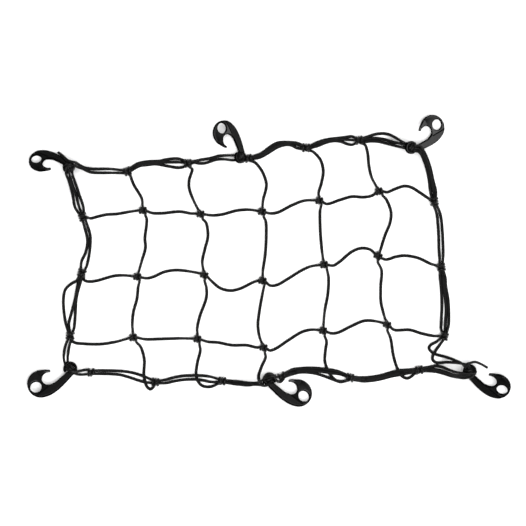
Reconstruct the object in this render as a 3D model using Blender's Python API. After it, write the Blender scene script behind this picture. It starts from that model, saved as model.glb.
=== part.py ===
"""Elastic cargo net with six moulded hooks, lying flat on a surface.

Metres, +Z up. The origin is the centre of the footprint, on the surface. +X runs along the
long side and +Y towards the side with hooks A, B and C.

The layout tables below are in millimetres on a plan sheet seen from above: x to the right,
y down the sheet. on_sheet() turns a sheet position into the model's frame.

    net      one fused solid: mesh cords, border cords, their knots and loose ends
    hook_*   six copies of one flat moulded hook, each threaded on the border at its split eye
"""
import functools
import math

import bmesh
import bpy
from mathutils import Matrix, Vector

MM = 0.001
SHEET_CENTRE = (269.21, 260.005)      # sheet position of the model's origin

# Cord: 3 mm elastic cord with a braided cover, as a five-sided tube that lies on one flat
CORD_HALF = 1.45                    # height of its centre above the surface
CORD_PROFILE = ((-0.9, -1.45), (0.9, -1.45), (1.5, 0.3), (0.0, 1.6), (-1.5, 0.3))   # across, up
ROUTE_STEP = 1.0                    # spacing of the fine route, before it is thinned
ROUTE_TOLERANCE = 0.5               # how far a thinned route may leave the fine one
RISE_LENGTH = 26.0                  # a border cord climbs to its hook over this length
TRIM_CLEARANCE = 0.35               # between the cords and a hook
FLAT_ANGLE = 0.5                    # degrees within which the fused net's faces are merged

# Knots: low lobed lumps, flat underneath
KNOT_HEIGHT = 5.6
KNOT_POINTS = 9
KNOT_LOBES = 3
KNOT_RIDGE = 0.13
KNOT_TWIST = 20.0                   # degrees that the ridges turn from one level to the next
KNOT_LEVELS = ((0.0, 0.86), (0.45, 1.06), (1.0, 0.56))   # height, radius

# Hook, in its own plane: the head's centre is the origin, x points the way the tip points
HOOK_THICK = 4.6
HOOK_EDGE = 0.7                     # bevel round both faces
HEAD_RADIUS = 14.0
FINGER_HOLE = (-5.1, -3.5, 5.75)    # x, y, radius
MOUTH = (7.2, 5.4, 6.7)             # x, y, radius
EYE = (28.9, 15.6)                  # centre of the split eye at the end of the shank
EYE_RADIUS = 7.0
EYE_HOLE_RADIUS = 4.7
EYE_SLIT = (214.0, 232.0)           # degrees round the eye, between its end and the shank
SEAT_DIRECTION = 205.0              # degrees round the mouth, where a load bears
SEAT_HALF_ANGLE = 13.0              # the flat land there spans twice this
BACK_EDGE = ((7.0, -12.6), (13.7, -8.9), (20.7, -2.9), (26.6, 3.6), (31.2, 9.0))
FRONT_EDGE = ((24.9, 11.2), (23.6, 10.0), (18.7, 5.4), (14.6, 1.7), (11.9, 0.2))
TIP_EDGE = ((8.6, 12.4), (9.2, 13.3), (8.5, 14.2), (4.2, 14.4))

# The cords' knot in each hook's eye, as (distance from the hook's mid plane, radius)
PLUG_LEVELS = ((-5.4, 3.4), (-4.2, 5.0), (-3.0, 4.2), (3.0, 4.2), (4.2, 5.0), (5.4, 3.4))
PLUG_POINTS = 8
CORD_LIFT = HOOK_THICK / 2 + TRIM_CLEARANCE + CORD_HALF + 0.1   # cord to the hook's mid plane
EYE_REACH = 9.0                     # a cord keeps that lift as far as this from the eye

# Where the hooks lie: head's centre on the sheet, the way the hook is turned, then the way
# it leans. lean_axis is a direction in plan and lean the angle about it, in degrees.
HOOKS = {
    #     node,                 head x, head y, face down, turn, lean_axis, lean
    "A": ("hook_top_left",       41.6, 160.7, True,  11.0,  186.0, 36.0),
    "B": ("hook_top_middle",    223.5, 132.8, True,  336.0, 276.0, -30.0),
    "C": ("hook_top_right",     432.3, 127.6, True,  249.5, 85.0,  24.0),
    "D": ("hook_bottom_left",    41.3, 383.2, False, 0.0,   190.0, 18.0),
    "E": ("hook_bottom_middle", 298.4, 392.6, True,  184.0, 136.5, 21.5),
    "F": ("hook_bottom_right",  497.1, 386.2, True,  177.5, 341.0, 31.0),
}

# Knots on the sheet: K in the mesh, L, T, R and B on the left, top, right and bottom borders
KNOTS = {
    #        x,     y,     width, depth
    "K11": (143.0, 210.5, 8.5, 7.5),
    "K12": (200.5, 214.0, 8.0, 8.5),
    "K13": (262.0, 211.8, 8.5, 8.0),
    "K14": (319.3, 200.8, 7.5, 9.0),
    "K15": (379.0, 191.5, 9.0, 8.5),
    "K21": (137.3, 276.8, 8.0, 8.0),
    "K22": (204.3, 275.0, 7.5, 9.0),
    "K23": (262.5, 280.8, 8.5, 8.0),
    "K24": (324.0, 264.7, 9.0, 8.0),
    "K25": (378.0, 256.0, 9.0, 8.0),
    "K31": (133.3, 337.5, 8.5, 7.5),
    "K32": (197.5, 339.0, 7.5, 8.0),
    "K33": (263.5, 347.5, 7.5, 9.0),
    "K34": (323.0, 330.7, 7.5, 8.0),
    "K35": (387.0, 324.5, 7.0, 10.0),
    "L1": (83.0, 217.0, 8.5, 8.5),
    "L2": (82.0, 273.0, 8.5, 12.0),
    "L3": (70.5, 335.5, 9.0, 9.5),
    "R1": (434.0, 202.0, 9.0, 9.0),
    "R2": (441.0, 267.0, 8.5, 8.5),
    "R3": (444.0, 336.0, 9.0, 8.5),
    "T1": (127.5, 171.5, 7.5, 9.5),
    "T2": (188.0, 163.5, 9.0, 9.0),
    "T3": (248.5, 158.5, 7.0, 8.5),
    "T4": (306.0, 148.0, 9.0, 8.0),
    "T5": (359.0, 140.5, 11.0, 10.5),
    "B0": (91.0, 372.3, 8.0, 8.0),
    "B1": (155.5, 382.0, 9.0, 8.0),
    "B2": (222.0, 381.0, 9.0, 9.0),
    "B3": (282.0, 376.5, 10.0, 12.0),
    "B4": (350.0, 377.7, 10.0, 8.5),
    "B5": (419.0, 370.0, 9.0, 7.5),
}

# Cord routes on the sheet. A name is a knot that the cord runs through. A hook's letter with
# + or - is an end that crosses over or under that hook's eye, and with ^ a whole cord that
# lies on top of the hook.
CORDS = {
    "row_1": (
        "L1", (91, 218.4), (99, 216.3), (107, 214.6), (117, 214), (129, 211.9), "K11",
        (152, 213), (162, 213.3), (180, 211.7), (191, 213.5), "K12", (212, 215.4),
        (222, 214.5), (238, 210.4), (250, 209.8), "K13", (271, 213.5), (278, 212.4),
        (292, 205.3), (304, 200.8), "K14", (326.5, 204), (340, 200), (352, 196.7),
        (364, 197.2), (373, 195.3), "K15", (387, 192.3), (394, 189.5), (404, 186.2),
        (411, 187.3), (420, 192.7), (428, 198.2), "R1"),
    "row_2": (
        "L2", (90, 281), (98, 280), (114, 276), (124, 275.4), "K21", (147, 278.3),
        (153, 277), (165, 271.8), (176, 270.2), (188, 271.2), "K22", (212, 281.5),
        (220, 288), (230, 290.6), (240, 288.7), (254, 282), "K23", (270, 285.5),
        (277, 285), (287, 279.5), (301, 270.8), (310, 266.7), "K24", (333, 265.7),
        (339, 262.3), (352, 251.7), (361, 248.3), (370, 249.5), "K25", (386, 259.6),
        (396, 256.8), (405, 255.7), (418, 258), (431, 264), "R2"),
    "row_3": (
        "L3", (77, 342.5), (90, 344.2), (102, 344), (117, 341.6), "K31", (145, 339.2),
        (160, 339), (180, 338.4), "K32", (208, 341.8), (218, 342.5), (232, 345.2),
        (247, 345.3), (257, 347.5), "K33", (270, 350.5), (276, 348.5), (288, 340.5),
        (302, 332), (311, 329.8), "K34", (331, 333.3), (338, 332.6), (351, 326.3),
        (364, 320.9), (374, 321), "K35", (394, 329.8), (410, 330), (422, 333.6),
        (434, 336), "R3"),
    "column_1": (
        "T1", (131.3, 178), (134, 184.5), (142, 199), "K11", (146.8, 219), (146.5, 226),
        (145, 238), (145.5, 248), (142, 260.5), "K21", (138.3, 287), (137, 299),
        (133.5, 312), (132.4, 324), "K31", (140.5, 346.5), (144.3, 359), (144, 374),
        (146, 385), (150.3, 389), "B1"),
    "column_2": (
        "T2", (192.4, 169.5), (189.3, 180), (189.2, 188), (193, 199), "K12",
        (206, 222.5), (208, 236), (205, 249), (202.3, 262), "K22", (206.5, 288),
        (206.3, 298), (200, 316), (197.3, 328), "K32", (200.4, 350), (197.4, 363),
        (196.2, 375), (198.5, 382), (203, 386), (210, 386.8), "B2"),
    "column_3": (
        "T3", (256, 163), (263, 173), (266.5, 185), (263.2, 200), "K13", (265.7, 221),
        (266.3, 236), (265.2, 255), (263, 270), "K23", (262.5, 294), (259.5, 311),
        (258, 325), (259.5, 336.5), "K33", (265.7, 357), (261.5, 367), (258.6, 376),
        (257, 383.5)),
    "column_4": (
        "T4", (314, 152.5), (320.5, 160), (323.3, 171), (321.5, 183), (318.6, 193),
        "K14", (320.2, 210), (320.3, 230), (322, 251), "K24", (328.5, 277), (328, 293),
        (324.8, 311), "K34", (326.5, 341), (325.3, 352), (325, 362), (329, 372),
        (335, 380), (341, 382.4), "B4"),
    "column_5": (
        "T5", (365.5, 145.5), (367.8, 154), (369, 166), (371.5, 177), "K15",
        (386, 199), (391, 212), (390, 223), (385, 235.5), (380.5, 250), "K25",
        (381.5, 270), (380.7, 287), (381, 302), (384, 315), "K35", (390.5, 338),
        (393.5, 356), (397, 367.5), (402, 376.5), (408, 378.3), "B5"),
    "top_1_outer": ("A+", (76, 161.5), (81, 166), (88, 168.1), (100, 168.6), (115, 169), "T1"),
    "top_1_inner": ("A+", (80, 168.5), (87, 171.4), (96, 172.6), (112, 172.8), "T1"),
    "top_2_outer": ("T1", (137, 163.3), (143, 162), (152, 161.2), (166, 159.6), (176, 159), "T2"),
    "top_2_inner": ("T1", (140, 165.2), (154, 163.8), (163, 165.2), (178, 167.6), "T2"),
    "top_3_outer": ("T2", (199, 160), (214, 157.3), (221, 155.4), (230, 155), "B-"),
    "top_3_inner": ("T2", (204, 163.3), (212, 161), (218, 159), (225, 159.3), (232, 160.4), "B-"),
    "top_4_tie": ("B-", (244, 158.4), "T3"),
    "top_4_outer": ("T3", (257, 156), (263, 153.2), (270, 147.5), (275, 143.6), (281, 142.2),
                    (293, 142.7), (300, 143.8), "T4"),
    "top_4_inner": ("T3", (258, 158.2), (264, 155.8), (271, 151), (278, 147), (285, 144.8),
                    (295, 146.7), "T4"),
    "top_5_outer": ("T4", (317, 143), (325, 140), (333, 138.7), (343, 137.7), (352, 136.6), "T5"),
    "top_5_inner": ("T4", (318, 146.5), (326, 143.2), (334, 141.4), (340, 141.8), (347, 144),
                    "T5"),
    "top_6_outer": ("T5", (370, 136.3), (377, 134.2), (383, 133.7), (389, 134.8), (396, 138),
                    (402, 141.5), "C+"),
    "top_6_inner": ("T5", (375, 142.3), (383, 143.2), (392, 146), (400, 147.8), "C+"),
    "left_1_outer": ("A-", (66.4, 176), (70, 185), (73, 197), (75.5, 209), "L1"),
    "left_1_inner": ("A-", (73.5, 174), (76.4, 181), (79.5, 190), (82.4, 201), (84.3, 209), "L1"),
    "left_2_outer": ("L1", (85, 228), (87.2, 236), (87.7, 243), (85.5, 253), (81.5, 262), "L2"),
    "left_2_inner": ("L1", (88.3, 227), (90.3, 235), (90.5, 245), (88.8, 259), "L2"),
    "left_3_outer": ("L2", (73, 282.5), (68, 286.5), (65, 290.5), (63.6, 298), (63.6, 307),
                     (65.5, 320), (67, 327), "L3"),
    "left_3_middle": ("L2", (77, 290), (74.5, 301), (70, 317), (68, 326), "L3"),
    "left_3_inner": ("L2", (79.5, 288), (76.8, 295), (75.8, 305), (75, 320), (74.3, 328), "L3"),
    "left_4_outer": ("L3", (65, 347), (64, 354), (65, 361), "D-"),
    "left_4_inner": ("L3", (69.2, 348), (68.3, 355), (68, 361), "D-"),
    "right_1_outer": ("C-", (423.5, 151), (428.3, 158), (432, 171), (434.6, 183), (436.4, 193),
                      "R1"),
    "right_1_inner": ("C-", (421, 154), (425, 161), (427.6, 171), (430.2, 184), (431.5, 194),
                      "R1"),
    "right_2_inner": ("R1", (436, 213), (437.6, 222), (438.6, 232), (439.3, 250), "R2"),
    "right_2_outer": ("R1", (440.3, 213), (441.8, 221), (443, 234), (443.3, 252), "R2"),
    "right_3_inner": ("R2", (441.5, 280), (442, 290), (442.2, 306), (441.5, 322), "R3"),
    "right_3_outer": ("R2", (445, 279), (446, 288), (448.2, 299), (449, 312), (448.6, 326), "R3"),
    "right_4_outer": ("R3", (436, 342), (431, 344.7), (429, 348), (431, 351.3), (435, 354),
                      (446, 357), (458, 361.5), "F-"),
    "right_4_inner": ("R3", (440, 344.5), (436, 350), (433, 355), (432.6, 359.5), (436, 362.4),
                      (446, 362.3), (458, 363.2), "F-"),
    "loose_end_right": ("F-", (470.5, 362.4), (475, 361.3), (480, 363), (487, 367.3)),
    "loose_end_left": ("A^", (68.5, 160.5), (58.5, 152.5)),
    "bottom_1_outer": ("D+", (82, 374.2), "B0"),
    "bottom_1_inner": ("D+", (82, 370.3), "B0"),
    "bottom_2_outer": ("B0", (108, 374.3), (120, 375.5), (136, 380), (145, 382.4), "B1"),
    "bottom_2_inner": ("B0", (108, 370.3), (120, 370.7), (136, 373.6), (146, 377), "B1"),
    "bottom_3_inner": ("B1", (166, 379.5), (175, 377.3), (184, 375.9), (200, 375.5), (211, 376.4),
                       "B2"),
    "bottom_3_outer": ("B1", (166, 383), (175, 381), (184, 379.6), (197, 379.2), (209, 381.4),
                       "B2"),
    "bottom_4_inner": ("B2", (234, 380.4), (243, 382), (252, 382.2), (260, 381.5), "E+"),
    "bottom_4_outer": ("B2", (234, 384.6), (245, 385.1), (256, 385.4), (263, 384.3), "E+"),
    "bottom_5_tie": ("E-", (276, 377.5), "B3"),
    "bottom_5_inner": ("B3", (292, 369.8), (300, 368.6), (310, 368), (320, 368.4), (331, 370),
                       (343, 372.6), "B4"),
    "bottom_5_outer": ("B3", (292, 374), (303, 371.9), (315, 373.2), (325, 376.4),
                       (334, 379.8)),
    "bottom_6_inner": ("B4", (365, 377.6), (375, 376.6), (386, 374), (396, 371), (404, 369.7),
                       "B5"),
    "bottom_6_outer": ("B4", (365, 381), (375, 380.3), (387, 377.4), (397, 374.6), (408, 373.2),
                       "B5"),
    "bottom_7_inner": ("B5", (429, 366.8), (436, 365.9), (442, 367), (449, 369.8), (457, 372.2),
                       "F+"),
    "bottom_7_outer": ("B5", (430, 370.9), (437, 371.8), (444, 373.6), (452, 376.2), (460, 377.2),
                       "F+"),
}


def clear_scene():
    for item in list(bpy.data.objects):
        bpy.data.objects.remove(item)


def make_material(name, colour, roughness):
    material = bpy.data.materials.new(name)
    material.use_nodes = True
    shader = material.node_tree.nodes["Principled BSDF"]
    shader.inputs["Base Color"].default_value = (*colour, 1.0)
    shader.inputs["Roughness"].default_value = roughness
    shader.inputs["Metallic"].default_value = 0.0
    return material


def on_sheet(x, y, height=0.0):
    """A sheet position and a height above the surface, all in mm, in the model's frame in mm."""
    return Vector((x - SHEET_CENTRE[0], SHEET_CENTRE[1] - y, height))


def new_object(name, mesh, material=None, guide=False):
    item = bpy.data.objects.new(name, mesh)
    bpy.context.scene.collection.objects.link(item)
    if material:
        mesh.materials.append(material)
    if guide:
        item.hide_render = True
        item.display_type = "WIRE"
    return item


def mesh_from_rings(name, rings):
    """A closed mesh in metres from rings of points in mm, each joined to the next."""
    bm = bmesh.new()
    loops = [[bm.verts.new(point * MM) for point in ring] for ring in rings]
    count = len(loops[0])
    for low, high in zip(loops, loops[1:]):
        for i in range(count):
            j = (i + 1) % count
            bm.faces.new((low[i], low[j], high[j], high[i]))
    bm.faces.new(reversed(loops[0]))
    bm.faces.new(loops[-1])
    bmesh.ops.recalc_face_normals(bm, faces=bm.faces)
    mesh = bpy.data.meshes.new(name)
    bm.to_mesh(mesh)
    bm.free()
    return mesh


# ---------------------------------------------------------------- hooks

def arc(centre, radius, start, end, steps):
    """Points round a circle from start to end degrees, both ends included."""
    angles = [math.radians(start + (end - start) * i / steps) for i in range(steps + 1)]
    return [(centre[0] + radius * math.cos(a), centre[1] + radius * math.sin(a)) for a in angles]


def hook_outline():
    """The hook's outline in its own plane, counterclockwise from the top of the head."""
    slit_start, slit_end = EYE_SLIT
    mouth = MOUTH[:2]
    radius = MOUTH[2]
    seat = SEAT_DIRECTION
    points = arc((0.0, 0.0), HEAD_RADIUS, 92, 282, 11)
    points += BACK_EDGE
    points += arc(EYE, EYE_RADIUS, -40, slit_start, 10)
    points += arc(EYE, EYE_HOLE_RADIUS, slit_start, slit_end - 360.0, 10)
    points += FRONT_EDGE
    points += arc(mouth, radius, 282, seat + SEAT_HALF_ANGLE, 3)
    points += arc(mouth, radius, seat - SEAT_HALF_ANGLE, 84, 5)
    points += TIP_EDGE
    return points


def hook_mesh(name):
    """The flat hook: outline and finger hole filled, thickened and its edges bevelled."""
    bm = bmesh.new()
    edges = []
    hole = arc(FINGER_HOLE[:2], FINGER_HOLE[2], 0, 360, 12)[:-1]
    for outline in (hook_outline(), hole):
        corners = [bm.verts.new((x * MM, y * MM, -HOOK_THICK / 2 * MM)) for x, y in outline]
        for i, corner in enumerate(corners):
            edges.append(bm.edges.new((corner, corners[(i + 1) % len(corners)])))
    bmesh.ops.triangle_fill(bm, edges=edges, use_beauty=True)
    raised = bmesh.ops.extrude_face_region(bm, geom=bm.faces[:])["geom"]
    raised = [part for part in raised if isinstance(part, bmesh.types.BMVert)]
    bmesh.ops.translate(bm, verts=raised, vec=(0, 0, HOOK_THICK * MM))
    bmesh.ops.recalc_face_normals(bm, faces=bm.faces)
    rims = [edge for edge in bm.edges if edge.calc_face_angle(0) > math.radians(80)
            and abs(edge.verts[0].co.z - edge.verts[1].co.z) < MM / 100]
    bmesh.ops.bevel(bm, geom=rims, offset=HOOK_EDGE * MM, segments=1, affect="EDGES",
                    clamp_overlap=True)
    mesh = bpy.data.meshes.new(name)
    bm.to_mesh(mesh)
    bm.free()
    return mesh


@functools.cache
def hook_corners():
    """The corners of a hook in its own frame, in mm."""
    mesh = hook_mesh("hook_corners")
    corners = [corner.co / MM for corner in mesh.vertices]
    bpy.data.meshes.remove(mesh)
    return corners


@functools.cache
def hook_pose(letter):
    """Rotation of a hook and its head's centre in mm, so that it and its plug touch down."""
    _, x, y, face_down, turn, lean_axis, lean = HOOKS[letter]
    axis = (math.cos(math.radians(lean_axis)), math.sin(math.radians(lean_axis)), 0.0)
    rotation = Matrix.Rotation(math.radians(lean), 3, axis)
    rotation = rotation @ Matrix.Rotation(math.radians(turn), 3, "Z")
    if face_down:
        rotation = rotation @ Matrix.Rotation(math.pi, 3, "X")
    hook_low = min((rotation @ corner).z for corner in hook_corners())
    level = abs(rotation[2][2])
    slope = math.sqrt(1.0 - level ** 2)
    plug_low = min(distance * level - radius * slope for distance, radius in PLUG_LEVELS)
    plug_low += (rotation @ Vector((*EYE, 0.0))).z
    return rotation, on_sheet(x, y, -min(hook_low, plug_low))


def hook_matrix(letter):
    rotation, centre = hook_pose(letter)
    return Matrix.Translation(centre * MM) @ rotation.to_4x4()


def eye_frame(letter):
    """Centre of a hook's eye in mm and the direction square to the hook that points up."""
    rotation, centre = hook_pose(letter)
    up = rotation @ Vector((0, 0, 1))
    if up.z < 0:
        up = -up
    return centre + rotation @ Vector((*EYE, 0.0)), up


def make_hooks(material):
    for letter, row in HOOKS.items():
        mesh = hook_mesh(row[0])
        mesh.transform(hook_matrix(letter))
        new_object(row[0], mesh, material)


def make_trimmer(letter):
    """A hook grown by the clearance, which trims the cords round it."""
    mesh = hook_mesh("trim_" + letter)
    bm = bmesh.new()
    bm.from_mesh(mesh)
    moves = [corner.normal * corner.calc_shell_factor() for corner in bm.verts]
    for corner, move in zip(bm.verts, moves):
        corner.co += move * TRIM_CLEARANCE * MM
    bm.to_mesh(mesh)
    bm.free()
    mesh.transform(hook_matrix(letter))
    return new_object("trim_" + letter, mesh, guide=True)


# ---------------------------------------------------------------- cords

def smooth_curve(stops, step):
    """Points along a Catmull-Rom curve through the stops, about a step apart."""
    stops = [2 * stops[0] - stops[1], *stops, 2 * stops[-1] - stops[-2]]
    points = []
    for before, start, end, after in zip(stops, stops[1:], stops[2:], stops[3:]):
        count = max(2, round((end - start).length / step))
        for i in range(count):
            t = i / count
            points.append(0.5 * (2 * start + (end - before) * t
                                 + (2 * before - 5 * start + 4 * end - after) * t ** 2
                                 + (3 * start - before - 3 * end + after) * t ** 3))
    return points + [stops[-2]]


def thin_out(points, tolerance):
    """The fewest of the points that keep the route within the tolerance."""
    start, end = points[0], points[-1]
    along = (end - start).normalized()
    gaps = [((point - start) - (point - start).dot(along) * along).length for point in points]
    worst = max(range(len(points)), key=gaps.__getitem__)
    if gaps[worst] <= tolerance or len(points) < 3:
        return [start, end]
    return thin_out(points[:worst + 1], tolerance)[:-1] + thin_out(points[worst:], tolerance)


def height_near_hook(point, mark):
    """Height of a cord's centre where it runs to, or lies on, the hook that the mark names."""
    eye, up = eye_frame(mark[0])
    side = -1.0 if mark[1] == "-" else 1.0
    flat = Vector((point.x - eye.x, point.y - eye.y, 0.0))
    reach = flat.length
    if mark[1] != "^" and reach > EYE_REACH:
        flat = flat * (EYE_REACH / reach)
    on_hook = eye.z + (side * CORD_LIFT - up.dot(flat)) / up.z
    on_hook = max(on_hook, CORD_HALF)
    if mark[1] == "^" or reach <= EYE_REACH:
        return on_hook
    t = min(1.0, (reach - EYE_REACH) / RISE_LENGTH)
    return on_hook + (CORD_HALF - on_hook) * t * t * (3 - 2 * t)


def cord_route(stops):
    """A cord's centre line in mm, from its knots, hook marks and sheet positions."""
    marks = [stop for stop in stops if isinstance(stop, str) and stop not in KNOTS]
    plan = []
    for stop in stops:
        if stop in marks:
            eye, _ = eye_frame(stop[0])
            plan.append(Vector((eye.x, eye.y, 0.0)))
        elif isinstance(stop, str):
            plan.append(on_sheet(*KNOTS[stop][:2]))
        else:
            plan.append(on_sheet(*stop))
    route = smooth_curve(plan, ROUTE_STEP)
    for point in route:
        heights = [height_near_hook(point, mark) for mark in marks]
        point.z = max(heights, default=CORD_HALF)
    return thin_out(route, ROUTE_TOLERANCE)


def cord_mesh(name, stops):
    route = cord_route(stops)
    rings = []
    for i, point in enumerate(route):
        ahead = (route[min(i + 1, len(route) - 1)] - point).normalized()
        behind = (point - route[max(i - 1, 0)]).normalized()
        along = (ahead + behind).normalized()
        side = along.cross(Vector((0, 0, 1))).normalized()
        up = side.cross(along)
        ring = []
        for across, above in CORD_PROFILE:
            place = point + across * side + above * up
            place.z = max(0.0, round(place.z, 3))
            ring.append(place)
        rings.append(ring)
    return mesh_from_rings(name, rings)


def lobed_ring(centre, across, around, radii, lift, turn, count):
    """A ring of points whose radius swells at each lobe."""
    ring = []
    for i in range(count):
        angle = 2 * math.pi * i / count
        ridge = 1.0 + KNOT_RIDGE * math.cos(KNOT_LOBES * (angle - turn))
        ring.append(centre + lift + ridge * (radii[0] * math.cos(angle) * across
                                             + radii[1] * math.sin(angle) * around))
    return ring


def knot_mesh(name):
    x, y, width, depth = KNOTS[name]
    rings = []
    for level, (height, spread) in enumerate(KNOT_LEVELS):
        radii = (spread * width / 2, spread * depth / 2)
        lift = Vector((0, 0, height * KNOT_HEIGHT))
        turn = math.radians(KNOT_TWIST * level)
        rings.append(lobed_ring(on_sheet(x, y), Vector((1, 0, 0)), Vector((0, 1, 0)), radii,
                                lift, turn, KNOT_POINTS))
    return mesh_from_rings("knot_" + name, rings)


def plug_mesh(letter):
    """The cords' knot in a hook's eye: a waist through the eye and a bulge on each side."""
    eye, up = eye_frame(letter)
    across = up.cross(Vector((0, 1, 0))).normalized()
    around = up.cross(across)
    rings = []
    for distance, radius in PLUG_LEVELS:
        corners = arc((0.0, 0.0), radius, 0, 360, PLUG_POINTS)[:-1]
        rings.append([eye + distance * up + a * across + b * around for a, b in corners])
    return mesh_from_rings("plug_" + letter, rings)


def fill_collection(name, items):
    group = bpy.data.collections.new(name)
    bpy.context.scene.collection.children.link(group)
    for item in items:
        bpy.context.scene.collection.objects.unlink(item)
        group.objects.link(item)
    return group


def add_boolean(target, operation, group):
    modifier = target.modifiers.new(operation.title(), "BOOLEAN")
    modifier.operation = operation
    modifier.operand_type = "COLLECTION"
    modifier.collection = group
    modifier.solver = "EXACT"


def make_net(material):
    """All cords and knots fused into one solid, trimmed clear of the hooks."""
    names = list(CORDS)
    net = new_object("net", cord_mesh("net", CORDS[names[0]]), material)
    parts = [new_object("cord_" + name, cord_mesh(name, CORDS[name]), guide=True)
             for name in names[1:]]
    parts += [new_object("knot_" + name, knot_mesh(name), guide=True) for name in KNOTS]
    parts += [new_object("plug_" + letter, plug_mesh(letter), guide=True) for letter in HOOKS]
    add_boolean(net, "UNION", fill_collection("net_parts", parts))
    trimmers = [make_trimmer(letter) for letter in HOOKS]
    add_boolean(net, "DIFFERENCE", fill_collection("trimmers", trimmers))
    merge = net.modifiers.new("Merge flat faces", "DECIMATE")
    merge.decimate_type = "DISSOLVE"
    merge.angle_limit = math.radians(FLAT_ANGLE)


def main():
    clear_scene()
    make_net(make_material("black_elastic_cord", (0.012, 0.012, 0.013), 0.62))
    make_hooks(make_material("black_moulded_plastic", (0.03, 0.03, 0.03), 0.42))


main()
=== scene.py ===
"""Elastic cargo net, dressed: braided cords tied at every knot, and six satin black hooks.

Lengths in the tables are in millimetres on a plan sheet, x to the right and y down, as in the
part's own source. on_sheet() turns them into the row frame. Meshes are in metres.
"""
import math

import bmesh
import bpy
from mathutils import Matrix, Vector
from mathutils.kdtree import KDTree


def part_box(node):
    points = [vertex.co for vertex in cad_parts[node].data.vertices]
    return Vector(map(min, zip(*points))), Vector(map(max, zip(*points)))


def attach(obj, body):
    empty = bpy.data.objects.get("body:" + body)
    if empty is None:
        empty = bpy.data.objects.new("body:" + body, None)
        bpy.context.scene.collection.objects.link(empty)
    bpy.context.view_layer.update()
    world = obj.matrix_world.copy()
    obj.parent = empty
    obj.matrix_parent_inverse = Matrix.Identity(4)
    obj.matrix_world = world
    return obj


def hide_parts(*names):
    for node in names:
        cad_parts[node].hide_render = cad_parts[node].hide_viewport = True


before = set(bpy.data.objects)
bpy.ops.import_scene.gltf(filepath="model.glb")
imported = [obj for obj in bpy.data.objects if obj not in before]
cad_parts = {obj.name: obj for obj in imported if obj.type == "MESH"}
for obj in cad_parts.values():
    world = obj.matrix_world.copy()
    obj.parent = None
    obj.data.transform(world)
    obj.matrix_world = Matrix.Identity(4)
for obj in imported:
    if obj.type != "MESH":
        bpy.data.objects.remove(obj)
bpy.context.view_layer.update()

bl_info = {
    "name": "Elastic cargo net",
    "version": (1, 0, 0),
    "blender": (4, 5, 0),
    "location": "3D View > Sidebar > Cargo Net",
    "description": "Builds an elastic cargo net with six moulded hooks",
    "category": "Add Mesh",
}

MM = 0.001
SHEET_CENTRE = (269.21, 260.005)  # where the row frame's origin lies on the sheet
VIEW_HALF = 263.0  # half the side of the camera's square view of the sheet

# ---------------------------------------------------------------- layout tables

# Hook: CAD node, size, head's centre on the sheet, face down, turn, the lean's axis and angle
HOOKS = {
    "A": ("hook_top_left",      0.89,   41.6, 161.0, True,  11.0,  186.0, 36.0),
    "B": ("hook_top_middle",    0.905, 224.3, 133.4, True,  336.0, 276.0, -30.0),
    "C": ("hook_top_right",     0.925, 432.1, 128.0, True,  248.8, 85.0,  24.0),
    "D": ("hook_bottom_left",   1.0,    41.5, 383.6, False, 0.0,   190.0, 18.0),
    "E": ("hook_bottom_middle", 0.985, 298.4, 392.9, True,  184.0, 136.5, 21.5),
    "F": ("hook_bottom_right",  0.97,  496.9, 386.0, True,  177.5, 341.0, 31.0),
}

# Knots: centre on the sheet, width and depth. K in the mesh; L, T, R and B on the border
KNOTS = {
    "K11": (143, 210.5, 8.5, 7.5), "K12": (200.5, 214, 8, 8.5),
    "K13": (262, 211.8, 8.5, 8), "K14": (319.3, 200.8, 7.5, 9),
    "K15": (379, 191.5, 9, 8.5), "K21": (137.3, 276.8, 8, 8),
    "K22": (204.3, 275, 7.5, 9), "K23": (262.5, 280.8, 8.5, 8),
    "K24": (324, 264.7, 9, 8), "K25": (378, 256, 9, 8),
    "K31": (133.3, 337.5, 8.5, 7.5), "K32": (197.5, 339, 7.5, 8),
    "K33": (263.5, 347.5, 7.5, 9), "K34": (323, 330.7, 7.5, 8),
    "K35": (387, 324.5, 7, 10),
    "L1": (83, 217, 8.5, 8.5), "L2": (82, 273, 8.5, 12),
    "L3": (70.5, 335.5, 9, 9.5),
    "R1": (434, 201.8, 8.5, 8), "R2": (441, 267, 8.5, 8.5),
    "R3": (444, 336, 9, 8.5),
    "T1": (127.5, 171.5, 7.5, 9.5), "T2": (188, 163.5, 9, 9),
    "T3": (248.5, 158.5, 7, 8.5), "T4": (306, 148, 9, 8),
    "T5": (359, 140.5, 11, 10.5),
    "B0": (91.2, 372.3, 6.4, 8), "B1": (155.5, 382, 9, 8),
    "B2": (222, 381, 9, 9), "B3": (282, 376.5, 10, 12),
    "B4": (350, 377.7, 10, 8.5), "B5": (419, 370, 9, 7.5),
}

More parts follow.
